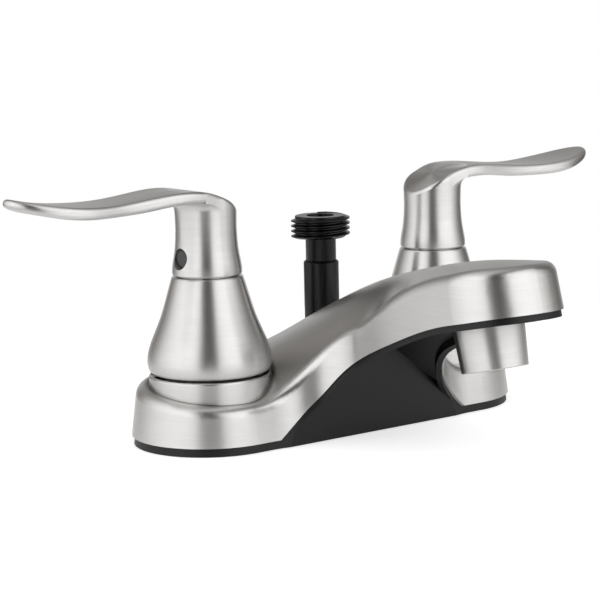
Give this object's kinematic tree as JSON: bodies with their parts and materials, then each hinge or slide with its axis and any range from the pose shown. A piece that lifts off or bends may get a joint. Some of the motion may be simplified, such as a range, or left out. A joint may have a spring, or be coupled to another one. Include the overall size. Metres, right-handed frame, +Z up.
{
  "type": "centerset bathroom faucet",
  "caption": "Low centerset basin faucet with winged lever handles on flared bells, a threaded hose riser and a pull-down diverter under the spout.",
  "frame": {"origin": "on the deck face, midway between the two handle axes", "axes": "+X along the base from the left handle to the right one, -Y towards the spout's nose, +Z up"},
  "size_m": [0.2556, 0.1388, 0.0896],
  "materials": {
    "brushed_nickel": "satin brushed nickel plate",
    "turned_nickel": "satin nickel, brushed round",
    "cast_nickel": "satin nickel, hand brushed",
    "nickel_collar": "satin nickel, brushed round",
    "black_underbody": "semi-gloss moulded ABS",
    "black_riser": "semi-gloss moulded acetal",
    "black_nylon": "matt nylon",
    "cast_brass": "as cast",
    "machined_brass": "machined",
    "valve_ceramic": "lapped alumina",
    "seal_rubber": "moulded rubber",
    "spring_steel": "drawn stainless steel",
    "screw_steel": "zinc plated",
    "aerator_plastic": "moulded acetal",
    "white_plastic": "moulded acetal",
    "index_plastic": "dark grey moulded plastic"
  },
  "bodies": {
    "faucet_base": {"body_shell": "brushed_nickel", "underbody": "black_underbody", "underbody_screws": "screw_steel", "waterway": "cast_brass", "riser_tube": "black_riser", "riser_seal": "seal_rubber", "hose_nipple": "black_riser", "outlet_nozzle": "cast_brass", "collar_seal": "seal_rubber", "diverter_spring": "spring_steel", "left_cartridge_body": "machined_brass", "left_inlet_seal": "seal_rubber", "left_lower_disc": "valve_ceramic", "left_bonnet_nut": "machined_brass", "left_bell_ring": "black_nylon", "left_bell": "turned_nickel", "right_cartridge_body": "machined_brass", "right_inlet_seal": "seal_rubber", "right_lower_disc": "valve_ceramic", "right_bonnet_nut": "machined_brass", "right_bell_ring": "black_nylon", "right_bell": "turned_nickel"},
    "left_lever": {"left_upper_disc": "valve_ceramic", "left_stem": "machined_brass", "left_stem_seal": "seal_rubber", "left_handle": "cast_nickel", "left_handle_screw": "spring_steel", "left_index_plug": "index_plastic"},
    "right_lever": {"right_upper_disc": "valve_ceramic", "right_stem": "machined_brass", "right_stem_seal": "seal_rubber", "right_handle": "cast_nickel", "right_handle_screw": "spring_steel", "right_index_plug": "index_plastic"},
    "diverter_slider": {"diverter_collar": "nickel_collar", "aerator_housing": "aerator_plastic", "aerator_screen": "spring_steel", "diverter_poppet": "white_plastic"}
  },
  "joints": [
    {"name": "left_handle_turn", "type": "hinge", "parent": "faucet_base", "child": "left_lever", "pos_m": [-0.0508, 0, 0.05], "axis": [0, 0, 1], "range_deg": [0, 90]},
    {"name": "right_handle_turn", "type": "hinge", "parent": "faucet_base", "child": "right_lever", "pos_m": [0.0508, 0, 0.05], "axis": [0, 0, 1], "range_deg": [-90, 0]},
    {"name": "diverter_pull", "type": "slide", "parent": "faucet_base", "child": "diverter_slider", "axis": [0, -0.2164, -0.9763], "range_m": [0, 0.004], "stiffness_N_per_m": 300, "springref_m": -0.005, "deforming": ["diverter_spring"]}
  ]
}
